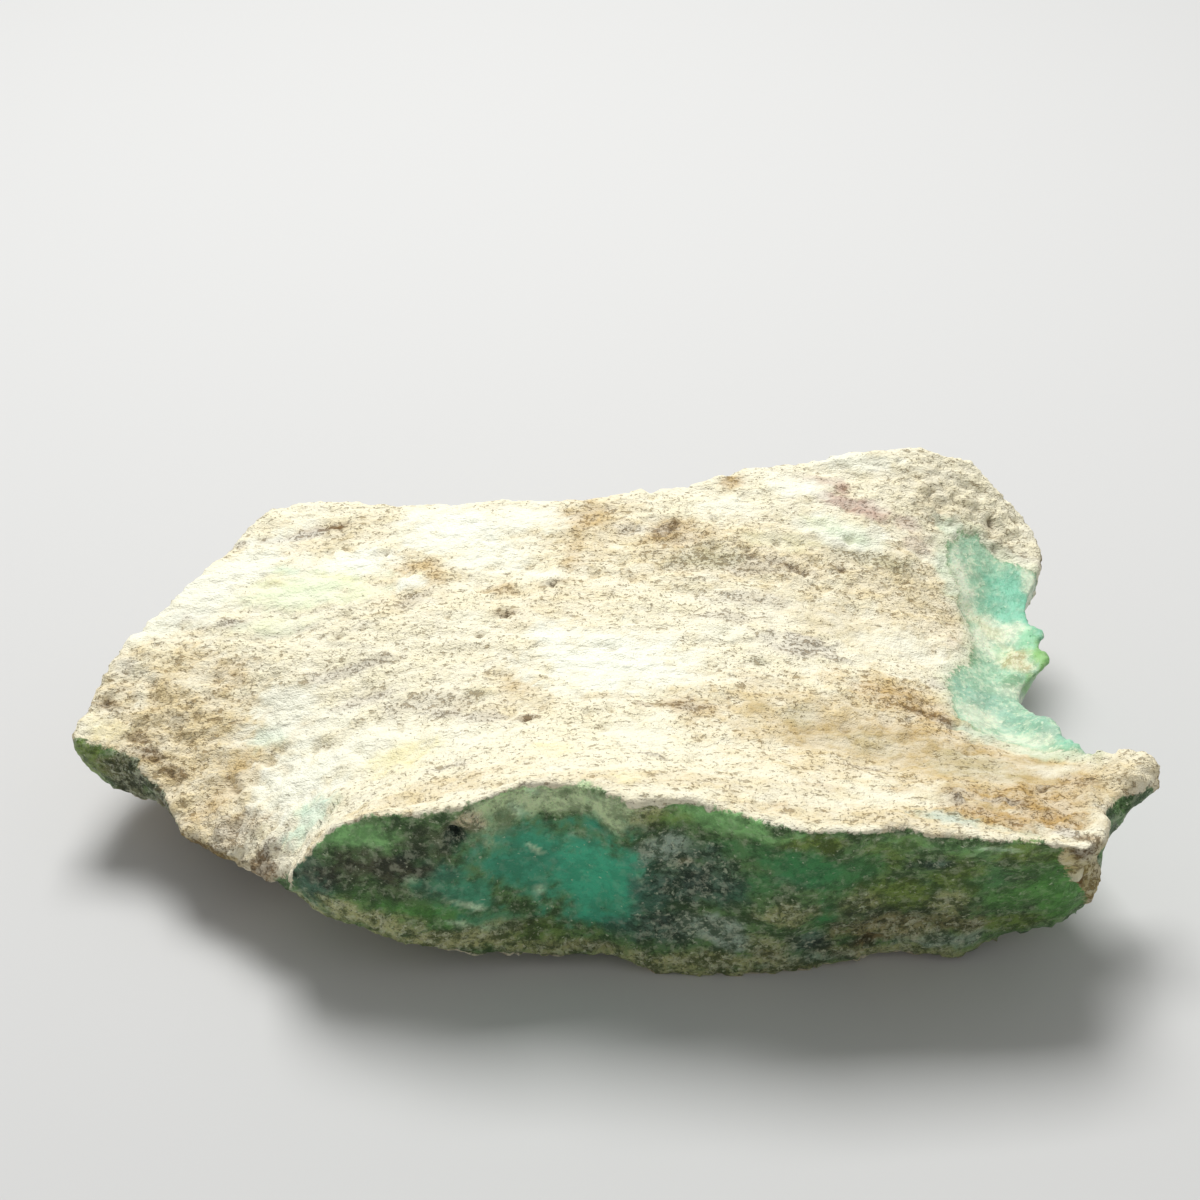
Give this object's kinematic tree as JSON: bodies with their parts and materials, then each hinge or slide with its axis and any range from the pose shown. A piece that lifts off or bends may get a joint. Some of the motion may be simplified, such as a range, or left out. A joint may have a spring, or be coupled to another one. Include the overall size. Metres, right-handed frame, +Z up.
{
  "type": "raw chrysoprase stone",
  "caption": "Raw chrysoprase: a broken slab of green vein stone under a pale weathered crust, lying flat, for display or study.",
  "frame": {"origin": "middle of the base, on the surface that the stone rests on", "axes": "+X along the stone's length to the small spur at its right end, -Y towards the long green break, +Z up out of the crust"},
  "size_m": [0.0718, 0.042, 0.0164],
  "materials": {
    "stone": "matt cream weathered crust with ochre, brown and lilac stains above, and waxy mottled green chalcedony on the broken front, in the notch and at the left tip"
  },
  "bodies": {
    "root": {"chrysoprase_stone": "stone"}
  },
  "joints": []
}
